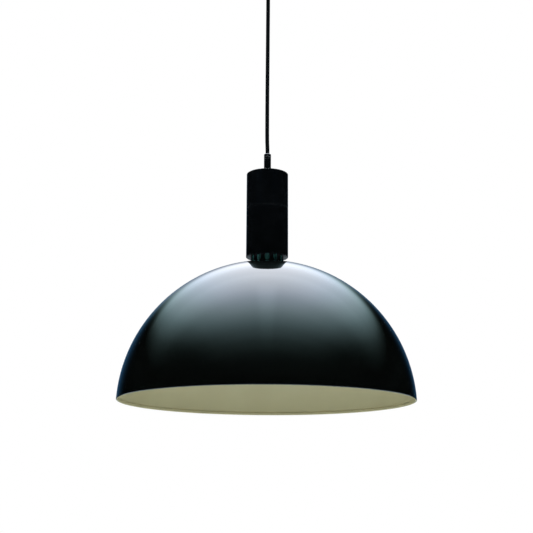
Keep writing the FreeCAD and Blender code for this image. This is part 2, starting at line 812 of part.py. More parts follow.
def upper_cap():
    """The housing's upper half, closed on top, whose spigot screws into the lower half."""
    seam = "(spigot_length + seam_gap)"
    top = f"({seam} + cap_height)"
    spigot_bore = "spigot_radius - spigot_wall"
    body = lathe("upper_cap", [
        (spigot_bore, 0),
        ("spigot_radius", 0),
        ("spigot_radius", "spigot_length"),
        ("housing_radius - flute_depth - seam_depth", "spigot_length"),
        ("housing_radius - flute_depth - seam_depth", seam),
        ("housing_radius", seam),
        ("housing_radius", top),
        ("clear_bore", top),
        ("clear_bore", f"{top} - cap_top"),
        ("housing_inside", f"{top} - cap_top"),
        ("housing_inside", f"{seam} + housing_wall"),
        (spigot_bore, f"{seam} + housing_wall"),
    ])
    soften(body, "Chamfer", "edge_chamfer", round_edges(body, "housing_radius", top))
    flute(body, seam)
    node("upper_cap", seat(body, "sleeve_top - spigot_length"))

    washer_top = "housing_top - cap_top"
    body = ring("cap_washer", "clear_bore", "nut_corner + washer_margin", "washer_thickness")
    node("cap_washer", seat(body, f"{washer_top} - washer_thickness"))
    node("cap_nut", seat(nut("cap_nut"), f"{washer_top} - washer_thickness - nut_height"))


def lower_sleeve():
    """The housing's lower half, whose floor carries the vented neck."""
    body = lathe("lower_sleeve", [
        ("neck_radius + part_gap", 0),
        ("housing_radius", 0),
        ("housing_radius", "sleeve_height"),
        ("housing_inside", "sleeve_height"),
        ("housing_inside", "sleeve_floor"),
        ("neck_radius + part_gap", "sleeve_floor"),
    ])
    soften(body, "Chamfer", "edge_chamfer", round_edges(body, "housing_radius", 0))
    flute(body, 0)
    node("lower_sleeve", seat(body, "sleeve_bottom"))


# ---------------------------------------------------------------- neck and shade

def shade_screw_holes(body, radius, length=None):
    """Holes for the shade's screws, which stand between the neck's slots."""
    across = "shade_screw_circle * cos(shade_screw_angle * 1 deg)"
    up = "shade_screw_circle * sin(shade_screw_angle * 1 deg)"
    repeat_round(body, hole(body, "XY_Plane", across, up, radius, length, turned=True), "shade_screw_count")


def vent_neck():
    """The slotted neck: its flange lies on the lower half's floor, and the shade hangs under it."""
    body = lathe("vent_neck", [
        ("neck_inside", 0),
        ("neck_radius", 0),
        ("neck_radius", "neck_height"),
        ("neck_flange", "neck_height"),
        ("neck_flange", "neck_height + neck_flange_height"),
        ("neck_inside", "neck_height + neck_flange_height"),
    ])
    sketch = new_sketch(body, "XZ_Plane")
    low = "slot_foot + slot_width / 2"
    high = "neck_height - slot_head - slot_width / 2"
    draw(sketch, [
        ("slot_width / 2", low),
        ("slot_width / 2", high),
        ("-slot_width / 2", high),
        ("-slot_width / 2", low),
    ], {1: (None, high, True), 3: (None, low, True)})
    repeat_round(body, pocket(body, sketch, "neck_flange"), "slot_count")
    shade_screw_holes(body, "shade_screw_radius + thread_gap", "shade_screw_length")
    node("vent_neck", seat(body, "neck_bottom"))


def shade():
    """The spun half-sphere, with a flat seat round its hole and a rolled hem at its rim."""
    roll = "hem_thickness / 2"
    hem_radius = f"sqrt(dome_radius ^ 2 - ({roll} - dome_centre) ^ 2)"
    hem_top = "(hem_height + hem_thickness - shade_wall)"
    ceiling = "(seat_level - shade_wall)"
    body = lathe("shade", [
        (hem_radius, roll),
        ("shade_seat", "seat_level"),
        ("shade_hole", "seat_level"),
        ("shade_hole", ceiling),
        (f"sqrt(dome_inside ^ 2 - ({ceiling} - dome_centre) ^ 2)", ceiling),
        (f"sqrt(dome_inside ^ 2 - ({hem_top} - dome_centre) ^ 2)", hem_top),
        (f"{hem_radius} - hem_thickness", "hem_height"),
        (f"{hem_radius} - hem_thickness", roll),
    ], {0: (0, None, True), 4: (0, None, False), 7: (None, roll, True)})
    shade_screw_holes(body, "shade_screw_radius + slip_gap")
    node("shade", seat(body, "rim_level"))


def shade_ring():
    """The ring inside the shade, and the screws that pull it and the shade up against the neck."""
    body = ring("shade_ring", "neck_inside", "ring_radius", "ring_thickness")
    shade_screw_holes(body, "shade_screw_radius + slip_gap")
    node("shade_ring", seat(body, "ring_level"))

    screws = []
    for number in range(int(val("shade_screw_count"))):
        angle = f"((shade_screw_angle + 360 / shade_screw_count * {number}) * 1 deg)"
        piece = screw(f"shade_screw_{number}", "shade_screw_radius", "shade_screw_length",
                      "shade_screw_head", "shade_screw_head_height")
        screws.append(seat(piece, "ring_level - shade_screw_head_height",
                           x=f"shade_screw_circle * cos({angle})",
                           y=f"shade_screw_circle * sin({angle})"))
    group("shade_screws", screws)


# ---------------------------------------------------------------- lampholder

def lampholder_case():
    """The lampholder's cap on the threaded tube, the nut above it and the skirt below it."""
    side_inside = "skirt_flange - holder_cap_wall"
    boss_inside = "holder_boss - holder_cap_wall / 2"
    body = lathe("holder_cap", [
        (side_inside, 0),
        ("skirt_flange", 0),
        ("skirt_flange", "holder_cap_side"),
        ("holder_boss", "holder_cone_top"),
        ("holder_boss", "holder_cap_top"),
        ("thread_bore", "holder_cap_top"),
        ("thread_bore", "holder_boss_foot"),
        (boss_inside, "holder_boss_foot"),
        (side_inside, "holder_cap_side - holder_cap_wall"),
    ])
    node("holder_cap", seat(body, "holder_cap_foot"))
    node("holder_lock_nut", seat(nut("holder_lock_nut"), "holder_cap_foot + holder_cap_top"))

    flange_foot = "skirt_height - skirt_lip_height"
    body = lathe("holder_skirt", [
        ("insert_bore", 0),
        ("skirt_radius", 0),
        ("skirt_radius", flange_foot),
        ("skirt_flange", flange_foot),
        ("skirt_flange", "skirt_height"),
        ("skirt_bore", "skirt_height"),
        ("skirt_bore", "shell_recess"),
        ("insert_bore", "shell_recess"),
    ])
    node("holder_skirt", seat(body, "holder_mouth"))


def lampholder_inside():
    """The porcelain insert on the skirt's lip, and the threaded shell and contact in it."""
    body = lathe("holder_insert", [
        ("insert_bore", 0),
        ("insert_radius", 0),
        ("insert_radius", "insert_height"),
        (0, "insert_height"),
        (0, "insert_cavity"),
        ("insert_bore", "insert_cavity"),
    ])
    node("holder_insert", seat(body, "insert_foot"))

    body = lathe("holder_shell", [
        ("shell_bore", 0),
        ("shell_bore + shell_wall", 0),
        ("shell_bore + shell_wall", "shell_length"),
        ("shell_lip", "shell_length"),
        ("shell_lip", "shell_length - shell_wall"),
        ("shell_bore", "shell_length - shell_wall"),
    ])
    node("holder_shell", seat(body, "insert_foot"))

    body = lathe("holder_contact", [
        (0, 0),
        ("contact_radius", 0),
        ("contact_radius", "contact_thickness"),
        ("contact_stem", "contact_thickness"),
        ("contact_stem", "contact_height"),
        (0, "contact_height"),
    ])
    node("holder_contact", seat(body, "contact_face"))


def holder_terminals():
    """Three terminals on top of the porcelain, their screws and the cores that go into them."""
    boxes = []
    screws = []
    middle = "(terminal_box_start + terminal_box_length / 2)"
    for number, name in enumerate(("holder_live_core", "holder_neutral_core", "holder_earth_core")):
        turn = 90 + 120 * number
        along = f"cos({turn} * 1 deg)"
        beside = f"sin({turn} * 1 deg)"
        box = doc.addObject("Part::Box", f"terminal_box_{number}")
        for side in ("length", "width", "height"):
            box.setExpression(side.capitalize(), ex(f"terminal_box_{side}"))
        boxes.append(seat(box, "insert_top",
                          x=f"terminal_box_start * {along} + terminal_box_width / 2 * {beside}",
                          y=f"terminal_box_start * {beside} - terminal_box_width / 2 * {along}",
                          turn=Rotation(Vector(0, 0, 1), turn)))
        head = rod(f"holder_screw_{number}", "terminal_screw_head", "terminal_head_height")
        screws.append(seat(head, "insert_top + terminal_box_height",
                           x=f"{middle} * {along}", y=f"{middle} * {beside}"))
        level = val("insert_top + terminal_box_height / 2")
        places = (
            (val("core_circle"), val("lamp_sheath_foot")),
            (val("core_circle"), level),
            (val("terminal_box_start"), level),
        )
        angle = math.radians(turn)
        tube(name, [(r * math.cos(angle), r * math.sin(angle), z) for r, z in places], val("core_radius"))
    group("holder_terminals", boxes)
    group("holder_terminal_screws", screws)


# ---------------------------------------------------------------- bulb

def bulb_glass():
    """The hollow glass: a ball that runs through a hollow curve into the neck."""
    blend = "bulb_blend * 1 deg"
    inner_ball = "(bulb_radius - bulb_wall)"
    body = lathe("bulb_glass", [
        (0, 0),
        (f"bulb_radius * cos({blend})", f"bulb_radius * (1 + sin({blend}))"),
        ("bulb_neck", "bulb_neck_level"),
        ("glass_tail", "bulb_shell_foot"),
        ("glass_tail", "glass_top"),
        ("glass_tail - bulb_wall", "glass_top"),
        ("glass_tail - bulb_wall", "bulb_shell_foot"),
        ("bulb_neck - bulb_wall", "bulb_neck_level"),
        (f"{inner_ball} * cos({blend})", f"bulb_radius + {inner_ball} * sin({blend})"),
        (0, "bulb_wall"),
    ], {
        0: (0, None, True),
        1: (None, "bulb_neck_level", False),
        7: (None, "bulb_neck_level", True),
        8: (0, None, False),
    })
    node("bulb_glass", seat(body, "bulb_foot"))


def bulb_base():
    """The bulb's metal shell with its in-turned end, the glass insulator and the contact."""
    shell_inside = "bulb_shell_radius - bulb_shell_wall"
    body = lathe("bulb_shell", [
        (shell_inside, "bulb_shell_foot"),
        ("bulb_shell_radius", "bulb_shell_foot"),
        ("bulb_shell_radius", "bulb_shell_top - bulb_shell_slope"),
        ("bulb_insulator_radius", "bulb_shell_top"),
        ("bulb_insulator_radius - bulb_shell_wall", "bulb_shell_top - bulb_shell_wall"),
        (shell_inside, "bulb_shell_top - bulb_shell_slope - bulb_shell_wall"),
    ])
    node("bulb_shell", seat(body, "bulb_foot"))
    body = lathe("bulb_insulator", [
        (0, "bulb_shell_top"),
        ("bulb_insulator_radius", "bulb_shell_top"),
        ("bulb_contact_radius", "bulb_contact_foot"),
        (0, "bulb_contact_foot"),
    ])
    node("bulb_insulator", seat(body, "bulb_foot"))
    body = lathe("bulb_contact", [
        (0, "bulb_contact_foot"),
        ("bulb_contact_radius", "bulb_contact_foot"),
        ("bulb_contact_top", "bulb_length"),
        (0, "bulb_length"),
    ])
    node("bulb_contact", seat(body, "bulb_foot"))


def bulb_inside():
    """The glass stem and, on two leads, the filament's loop."""
    flare = "glass_tail - bulb_wall - slip_gap"
    body = lathe("bulb_stem", [
        (0, "stem_foot"),
        ("stem_radius", "stem_foot"),
        ("stem_radius", "glass_top - stem_radius * 2"),
        (flare, "glass_top - bulb_wall"),
        (flare, "glass_top"),
        (0, "glass_top"),
    ])
    node("bulb_stem", seat(body, "bulb_foot"))

    loop = doc.addObject("Part::Torus", "filament_loop")
    loop.setExpression("Radius1", ex("filament_radius"))
    loop.setExpression("Radius2", ex("filament_wire"))
    loop.Angle3 = 300
    wires = [loop]
    lead_circle = "(stem_radius - filament_wire * 2)"
    for turn in (0, 300):
        across = f"{lead_circle} * cos({turn} * 1 deg)"
        along = f"{lead_circle} * sin({turn} * 1 deg)"
        lead = rod(f"filament_lead_{turn}", "filament_wire", "filament_drop")
        wires.append(seat(lead, 0, x=across, y=along))
        arm = rod(f"filament_arm_{turn}", "filament_wire", f"filament_radius - {lead_circle}")
        outward = Rotation(Vector(0, 0, 1), turn) * Rotation(Vector(0, 1, 0), 90)
        wires.append(seat(arm, 0, x=across, y=along, turn=outward))
    filament = doc.addObject("Part::MultiFuse", "bulb_filament")
    filament.Shapes = wires
    node("bulb_filament", seat(filament, "bulb_foot + stem_foot - filament_drop"))


# ---------------------------------------------------------------- build, check and write

mounting_plate()
canopy()
canopy_cord_grip()
terminal_block()
terminals()
ceiling_cores()
cord()
lamp_cord_grip()
upper_cap()
lower_sleeve()
vent_neck()
shade()
shade_ring()
lampholder_case()
lampholder_inside()
holder_terminals()
bulb_glass()
bulb_base()
bulb_inside()
doc.recompute()

for item in doc.Objects:
    if FAILED_STATES & set(item.State):
        raise RuntimeError(f"{item.Label} failed: {item.State}")
for name, piece in nodes.items():
    if piece.Shape.isNull() or not piece.Shape.isValid():
        raise RuntimeError(f"{name} has no valid shape")

os.makedirs("parts", exist_ok=True)
for name, piece in nodes.items():
    piece.Shape.exportStep(f"parts/{name}.step")
    box = piece.Shape.BoundBox
    print(f"{name}: {len(piece.Shape.Solids)} solid(s), {piece.Shape.Volume / 1000:.2f} cm3, "
          f"Z {box.ZMin:.1f} to {box.ZMax:.1f}")
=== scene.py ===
import math

import bmesh
import bpy
from mathutils import Matrix, Vector


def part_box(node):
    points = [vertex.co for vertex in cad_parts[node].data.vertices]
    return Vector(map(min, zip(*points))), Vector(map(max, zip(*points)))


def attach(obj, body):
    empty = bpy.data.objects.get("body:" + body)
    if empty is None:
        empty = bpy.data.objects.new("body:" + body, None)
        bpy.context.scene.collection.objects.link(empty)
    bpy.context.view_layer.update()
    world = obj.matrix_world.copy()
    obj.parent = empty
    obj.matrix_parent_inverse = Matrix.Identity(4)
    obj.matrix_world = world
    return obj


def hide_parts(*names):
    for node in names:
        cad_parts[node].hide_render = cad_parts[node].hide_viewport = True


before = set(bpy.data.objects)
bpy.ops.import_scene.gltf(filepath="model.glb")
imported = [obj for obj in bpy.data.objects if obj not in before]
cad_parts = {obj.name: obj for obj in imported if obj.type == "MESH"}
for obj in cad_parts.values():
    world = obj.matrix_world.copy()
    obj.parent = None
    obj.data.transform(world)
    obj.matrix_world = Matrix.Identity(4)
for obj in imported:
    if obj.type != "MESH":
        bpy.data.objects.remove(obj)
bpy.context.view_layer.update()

MM = 0.001


def foot(node):
    """A CAD node's lowest level, in millimetres."""
    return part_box(node)[0].z / MM


# ---------------------------------------------------------------- camera

# The eye stands in front of the lamp and below its rim, and looks up at it. Angles are in radians.
RIM = foot("shade")
EYE = Vector((-0.9, -1700, RIM - 171.3)) * MM
EYE_PITCH = 0.2340
EYE_ROLL = 0.0045
EYE_LENS = 68.19
SENSOR_WIDTH = 36

eye = bpy.data.cameras.new("eye")
eye.sensor_width = SENSOR_WIDTH
eye.lens = EYE_LENS
camera = bpy.data.objects.new("eye", eye)
bpy.context.scene.collection.objects.link(camera)
camera.matrix_world = (
    Matrix.Translation(EYE)
    @ Matrix.Rotation(math.pi / 2 + EYE_PITCH, 4, "X")
    @ Matrix.Rotation(EYE_ROLL, 4, "Z"))
bpy.context.scene.camera = camera


# ---------------------------------------------------------------- materials

# Nearly all of a noise's numbers lie between these.
NOISE_LOW = 0.3
NOISE_HIGH = 0.7


def finish(name, colour, roughness, metallic=0.0, **sockets):
    """A Principled material. Its constants sit on the shader's own sockets."""
    made = bpy.data.materials.new(name)
    made.use_nodes = True
    shader = made.node_tree.nodes["Principled BSDF"]
    shader.inputs["Base Color"].default_value = (*colour, 1)
    shader.inputs["Roughness"].default_value = roughness
    shader.inputs["Metallic"].default_value = metallic
    for socket, number in sockets.items():
        shader.inputs[socket.replace("_", " ")].default_value = number
    return made


def add_node(made, kind, **settings):
    node = made.node_tree.nodes.new("ShaderNode" + kind)
    for name, setting in settings.items():
        setattr(node, name, setting)
    return node


def noise(made, scale, detail=3.0, stretch=(1, 1, 1)):
    """A noise over the object's own coordinates: scale in cells per metre, stretched per axis."""
    links = made.node_tree.links
    place = add_node(made, "TexCoord")
    mapping = add_node(made, "Mapping")
    mapping.inputs["Scale"].default_value = stretch
    texture = add_node(made, "TexNoise")
    texture.inputs["Scale"].default_value = scale
    texture.inputs["Detail"].default_value = detail
    links.new(place.outputs["Object"], mapping.inputs["Vector"])
    links.new(mapping.outputs["Vector"], texture.inputs["Vector"])
    return texture.outputs["Fac"]


def ramp(made, source, stops):
    """Colours along a 0 to 1 source, from stops of (place, colour)."""
    node = add_node(made, "ValToRGB")
    made.node_tree.links.new(source, node.inputs["Fac"])
    elements = node.color_ramp.elements
    while len(elements) < len(stops):
        elements.new(0.5)
    for element, (place, colour) in zip(elements, stops):
        element.position = place
        element.color = (*colour, 1)
    return node.outputs["Color"]


def tint(made, source, stops):
    """A base colour that wanders along a ramp."""
    shader = made.node_tree.nodes["Principled BSDF"]
    made.node_tree.links.new(ramp(made, source, stops), shader.inputs["Base Color"])


def polish(made, source, smooth, rough):
    """Roughness that wanders between two values."""
    shader = made.node_tree.nodes["Principled BSDF"]
    node = add_node(made, "MapRange")
    node.inputs["From Min"].default_value = NOISE_LOW
    node.inputs["From Max"].default_value = NOISE_HIGH
    node.inputs["To Min"].default_value = smooth
    node.inputs["To Max"].default_value = rough
    made.node_tree.links.new(source, node.inputs["Value"])
    made.node_tree.links.new(node.outputs["Result"], shader.inputs["Roughness"])


def relief(made, *layers):
    """Bumps from sources, each with its height in millimetres."""
    shader = made.node_tree.nodes["Principled BSDF"]
    below = None
    for source, height in layers:
        node = add_node(made, "Bump")
        node.inputs["Distance"].default_value = height * MM
        made.node_tree.links.new(source, node.inputs["Height"])
        if below:
            made.node_tree.links.new(below, node.inputs["Normal"])
        below = node.outputs["Normal"]
    made.node_tree.links.new(below, shader.inputs["Normal"])


def enamel():
    """Deep black gloss enamel with a faint orange peel and a few handling smears."""
    made = finish("enamel_black", (0.0028, 0.003, 0.0025), 0.035, IOR=1.5)
    smears = noise(made, 9, 4, (1, 1, 2.5))
    tint(made, smears, [(0.35, (0.0024, 0.0026, 0.0022)), (0.75, (0.0034, 0.0036, 0.003))])
    polish(made, smears, 0.03, 0.06)
    relief(made, (noise(made, 260, 2), 0.0012), (noise(made, 40, 1), 0.004))
    return made


def inside_paint():
    """Satin khaki paint over spun metal, whose turning marks run round the bowl."""
    made = finish("inside_khaki", (0.405, 0.338, 0.188), 0.5, IOR=1.45)
    tint(made, noise(made, 14, 5), [(0.3, (0.392, 0.326, 0.18)), (0.7, (0.418, 0.35, 0.196))])
    polish(made, noise(made, 30, 3), 0.42, 0.58)
    turned = noise(made, 420, 2, (0.01, 0.01, 1))
    relief(made, (turned, 0.02), (noise(made, 900, 2), 0.01))
    return made


def satin_black(name, roughness, grain=1100, height=0.003, shine=0.5):
    """Stove paint: black, satin, with a fine even grain."""
    made = finish(name, (0.0035, 0.0037, 0.0042), roughness, IOR=1.5, Specular_IOR_Level=shine)
    wear = noise(made, 45, 5)
    tint(made, wear, [(0.35, (0.0028, 0.0031, 0.0037)), (0.72, (0.0048, 0.005, 0.0055))])
    polish(made, wear, roughness * 0.85, roughness * 1.2)
    relief(made, (noise(made, grain, 2), height))
    return made


def metal(name, colour, roughness, brushed=(1, 1, 1), depth=0.006):
    """Bare or plated metal, brushed or turned along the unstretched axes."""
    made = finish(name, colour, roughness, 1.0)
    streaks = noise(made, 700, 4, brushed)
    dark = tuple(part * 0.78 for part in colour)
    tint(made, noise(made, 60, 5), [(0.3, dark), (0.7, colour)])
    polish(made, streaks, roughness * 0.75, roughness * 1.35)
    relief(made, (streaks, depth))
    return made


def plastic(name, colour, roughness, shift=0.12, height=0.008, **sockets):
    """Moulded plastic or ceramic with a soft mottle and a fine moulded grain."""
    made = finish(name, colour, roughness, IOR=1.48, **sockets)
    mottle = noise(made, 80, 4)
    darker = tuple(part * (1 - shift) for part in colour)
    lighter = tuple(min(1, part * (1 + shift)) for part in colour)
    tint(made, mottle, [(0.3, darker), (0.7, lighter)])
    polish(made, mottle, roughness * 0.85, roughness * 1.2)
    relief(made, (noise(made, 1500, 2), height))
    return made


def jacket():
    """The cord's black jacket: fine lines from its extrusion, and soft handling wear."""
    made = finish("jacket_black", (0.0028, 0.0028, 0.0034), 0.7, Specular_IOR_Level=0.06)
    lines = noise(made, 2200, 2, (1, 1, 0.01))
    tint(made, noise(made, 70, 4), [(0.3, (0.002, 0.002, 0.0026)), (0.7, (0.004, 0.004, 0.0046))])
    polish(made, lines, 0.6, 0.8)
    relief(made, (lines, 0.02))
    return made


ENAMEL = enamel()
KHAKI = inside_paint()
HOUSING = satin_black("housing_black", 0.16, shine=0.25)
NECK = satin_black("neck_black", 0.34)
CANOPY = satin_black("canopy_black", 0.3)
ZINC = metal("zinc", (0.42, 0.43, 0.45), 0.36, depth=0.0015)
STEEL = metal("steel_dark", (0.15, 0.155, 0.165), 0.42, depth=0.0015)
BRASS = metal("brass_plain", (0.72, 0.52, 0.24), 0.3)
BULB_METAL = metal("bulb_tin", (0.66, 0.67, 0.68), 0.25)
CONTACT = metal("contact_tin", (0.55, 0.50, 0.42), 0.35)
TUNGSTEN = metal("tungsten", (0.28, 0.27, 0.27), 0.4)
JACKET = jacket()
NYLON = plastic("nylon_white", (0.70, 0.69, 0.64), 0.45)
GRIP = plastic("nylon_black", (0.008, 0.0085, 0.0095), 0.36)
HOLDER = plastic("holder_teal", (0.13, 0.36, 0.33), 0.38)
PORCELAIN = plastic("porcelain_white", (0.72, 0.70, 0.65), 0.15, shift=0.05, height=0.003)
BLACK_GLASS = plastic("glass_black", (0.006, 0.006, 0.008), 0.12, height=0.002)
SLEEVES = {
    "live": plastic("sleeve_brown", (0.11, 0.045, 0.02), 0.4),
    "neutral": plastic("sleeve_blue", (0.03, 0.10, 0.34), 0.4),
    "earth": plastic("sleeve_green", (0.06, 0.22, 0.05), 0.4),
}


def clear_glass():
    """Thin clear glass with a hint of ripple from blowing."""
    made = finish("glass_clear", (0.97, 0.98, 0.98), 0.0, IOR=1.45, Transmission_Weight=1.0)
    polish(made, noise(made, 50, 2), 0.0, 0.02)
    relief(made, (noise(made, 35, 1), 0.02))
    return made


GLASS = clear_glass()


# ---------------------------------------------------------------- mesh helpers

ON_AXIS = 1e-6
MARGIN = 1.5


def rounded(corners, steps=4):
    """An outline of (radius, level) points, in which a corner (radius, level, fillet) is an arc.
    A point just beyond each end of an arc keeps the flat face beside it flat in the shading."""
    points = []
    for number, corner in enumerate(corners):
        if len(corner) == 2:
            points.append(tuple(corner))
            continue
        here = Vector(corner[:2])
        back = Vector(corners[number - 1][:2]) - here
        ahead = Vector(corners[(number + 1) % len(corners)][:2]) - here
        before, after = back.normalized(), ahead.normalized()
        half = before.angle(after) / 2
        reach = corner[2] / math.tan(half)
        centre = here + (before + after).normalized() * (corner[2] / math.sin(half))
        start = here + before * reach - centre
        turn = start.angle_signed(here + after * reach - centre)
        margin = reach * MARGIN
        if margin * 2 < back.length:
            points.append(tuple(here + before * margin))
        for step in range(steps + 1):
            spoke = start.copy()
            spoke.rotate(Matrix.Rotation(-turn * step / steps, 2))
            points.append(tuple(centre + spoke))
        if margin * 2 < ahead.length:
            points.append(tuple(here + after * margin))
    return points


def revolve(name, outline, columns, lift=0.0, closed=True, shape=None, zones=None, crease=35):
    """A mesh turned round Z from an outline of (radius, level), in millimetres.
    columns is a number of even columns, or a list of their angles.
    shape(angle, radius, level) may change a radius, and zones gives each run's material number."""
    angles = columns
    if isinstance(columns, int):
        angles = [math.tau * number / columns for number in range(columns)]
    vertices, rows = [], []
    for radius, height in outline:
        if radius < ON_AXIS:
            rows.append([len(vertices)] * len(angles))
            vertices.append((0, 0, (height + lift) * MM))
            continue
        rows.append(range(len(vertices), len(vertices) + len(angles)))
        for angle in angles:
            reach = shape(angle, radius, height) if shape else radius
            vertices.append((reach * math.cos(angle) * MM, reach * math.sin(angle) * MM,
                             (height + lift) * MM))
    faces, numbers = [], []
    runs = [(row, row + 1) for row in range(len(rows) - 1)]
    if closed:
        runs.append((len(rows) - 1, 0))
    for run, (one, other) in enumerate(runs):
        for column in range(len(angles)):
            beside = (column + 1) % len(angles)
            corners = [rows[one][column], rows[one][beside],
                       rows[other][beside], rows[other][column]]
            face = list(dict.fromkeys(corners))
            if len(face) > 2:
                faces.append(face)
                numbers.append(zones[run] if zones else 0)
    mesh = bpy.data.meshes.new(name)
    mesh.from_pydata(vertices, [], faces)
    mesh.polygons.foreach_set("material_index", numbers)
    mesh.shade_smooth()
    mesh.set_sharp_from_angle(angle=math.radians(crease))
    return mesh


def threaded(depth, pitch, low, high):
    """A shape for revolve: a round-rooted thread that runs out at both ends."""
    def shape(angle, radius, height):
        fade = max(0, min(1, (height - low) * 2 / pitch, (high - height) * 2 / pitch))
        return radius - depth * fade * (0.5 - 0.5 * math.cos(angle - math.tau * height / pitch))
    return shape


def levels(low, high, step):
    """Even levels from low to high, about a step apart."""
    count = max(1, round((high - low) / step))
    return [low + (high - low) * number / count for number in range(count + 1)]


def wire(name, paths, radius, sides=8):
    """A mesh of round wires, each along its own list of points in millimetres."""
    turns = [math.tau * number / sides for number in range(sides)]
    made = bmesh.new()
    for path in paths:
        points = [Vector(point) * MM for point in path]
        side = (points[1] - points[0]).orthogonal().normalized()
        rings = []
        for number, point in enumerate(points):
            ahead = points[min(number + 1, len(points) - 1)] - points[max(number - 1, 0)]
            ahead.normalize()
            side = (side - ahead * side.dot(ahead)).normalized()
            other = ahead.cross(side)
            rings.append([made.verts.new(
                point + (side * math.cos(turn) + other * math.sin(turn)) * radius * MM)
                for turn in turns])
        for one, next_one in zip(rings, rings[1:]):
            for number in range(sides):
                beside = (number + 1) % sides
                made.faces.new((one[number], one[beside], next_one[beside], next_one[number]))
        made.faces.new(rings[0][::-1])
        made.faces.new(rings[-1])
    return finished_mesh(name, made, 60)


def finished_mesh(name, made, crease):
    """The mesh of a bmesh, smooth but for edges sharper than crease, in degrees."""
    bmesh.ops.recalc_face_normals(made, faces=made.faces)
    mesh = bpy.data.meshes.new(name)
    made.to_mesh(mesh)
    made.free()
    mesh.shade_smooth()
    mesh.set_sharp_from_angle(angle=math.radians(crease))
    return mesh


def place(name, data, body, slot, finishes, *nodes):
    """Put a mesh or curve in the scene as a piece on a body, in place of CAD nodes."""
    piece = bpy.data.objects.new(name, data)
    bpy.context.scene.collection.objects.link(piece)
    for made in finishes:
        data.materials.append(made)
    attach(piece, body)
    if nodes:
        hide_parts(*nodes)
    return piece


def turned(name, node, body, slot, finishes, outline, columns, **settings):
    """Put a turned piece in the scene in place of one CAD node, standing on that node's foot."""
    mesh = revolve(name, outline, columns, foot(node), **settings)
    return place(name, mesh, body, slot, finishes, node)


def out_of_mirror(*pieces):
    """Keep pieces out of the dome's mirror image, which shows the housing's lower half alone."""
    for piece in pieces:
        piece.visible_glossy = False


def redress(made, *nodes):
    """Give carried-over CAD nodes a material."""
    for node in nodes:
        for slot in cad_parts[node].material_slots:
            slot.material = made


# ---------------------------------------------------------------- cord

CORD_RADIUS = 3.5
# The cord's route in metres, from the lamp's grip up to the canopy's.
CORD_ROUTE = [
    (0, 0, -0.3738),
    (0, 0, -0.3618),
    (-0.0011, 0, -0.3378),
    (0, 0, -0.073),
    (0, 0, -0.043),
]

line = bpy.data.curves.new("cord_line", "CURVE")
line.dimensions = "3D"
spline = line.splines.new("NURBS")
spline.points.add(len(CORD_ROUTE) - 1)
for point, here in zip(spline.points, CORD_ROUTE):
    point.co = (*here, 1)
spline.order_u = 3
spline.use_endpoint_u = True
spline.resolution_u = 24
line.bevel_depth = CORD_RADIUS * MM
line.bevel_resolution = 8
line.use_fill_caps = True
cord = place("cord_flex", line, "cord", "cord_jacket", [JACKET], "cord")


# ---------------------------------------------------------------- fluted housing

FLUTES = 36
PITCH = math.tau / FLUTES
FLUTE_RADIUS = 1.2
FLUTE_DEPTH = 0.9
HOUSING_RADIUS = 36.5
FLUTE_CENTRE = HOUSING_RADIUS - FLUTE_DEPTH + FLUTE_RADIUS
RIB_ROUNDING = 0.3
# How steeply a flute's radius grows past its edge.
RISE_BESIDE = 3
# The columns of points beside a flute's middle, and the one in the rib's middle, in degrees.
FLUTE_STEPS = (0, 0.45, 0.9, 1.3, 1.6, 1.85, 2.1, 2.6, 3.7)
RIB_MIDDLE = 180 / FLUTES


def fluted(angle, radius, _):
    """The radius that is left where a round flute runs past, with softly rounded rib edges."""
    off = abs((angle + PITCH / 2) % PITCH - PITCH / 2)
    across = FLUTE_CENTRE * math.sin(off)
    depth = math.sqrt(max(0, FLUTE_RADIUS ** 2 - across ** 2))
    beside = max(0, across - FLUTE_RADIUS)
    groove = FLUTE_CENTRE * math.cos(off) - depth + RISE_BESIDE * beside
    share = min(1, max(0, 0.5 + (groove - radius) / (2 * RIB_ROUNDING)))
    return groove * (1 - share) + radius * share - RIB_ROUNDING * share * (1 - share)


flute_angles = []
for number in range(FLUTES):
    steps = [-step for step in FLUTE_STEPS[:0:-1]] + list(FLUTE_STEPS) + [RIB_MIDDLE]
    flute_angles += [number * PITCH + math.radians(step) for step in steps]

# Inside END_FACE the flutes don't reach, so the end faces are flat.
END_FACE = 35.0
HOUSING_BORE = 33.9
END_WALL = 3
SPIGOT_RADIUS = 33.85
SPIGOT_BORE = 31.45
SPIGOT = 10
SPIGOT_ROOT = 2.6
SEAM_RADIUS = 35.0
SEAM = 1.6
UPPER_HEIGHT = 62.8
TUBE_HOLE = 5.2
cap_foot = SPIGOT + SEAM
cap_top = cap_foot + UPPER_HEIGHT
upper = turned("housing_upper", "upper_cap", "lamp", "housing_paint", [HOUSING], rounded([
    (SPIGOT_BORE, 0),
    (SPIGOT_RADIUS, 0, 0.3),
    (SPIGOT_RADIUS, SPIGOT),
    (SEAM_RADIUS, SPIGOT, 0.15),
    (SEAM_RADIUS, cap_foot),
    (HOUSING_RADIUS, cap_foot, 0.35),
    (HOUSING_RADIUS, cap_top, 0.5),
    (END_FACE, cap_top),
    (TUBE_HOLE, cap_top, 0.3),
    (TUBE_HOLE, cap_top - END_WALL),
    (HOUSING_BORE, cap_top - END_WALL, 0.8),
    (HOUSING_BORE, cap_foot + SPIGOT_ROOT),
    (SPIGOT_BORE, cap_foot + SPIGOT_ROOT),
]), flute_angles, shape=fluted)

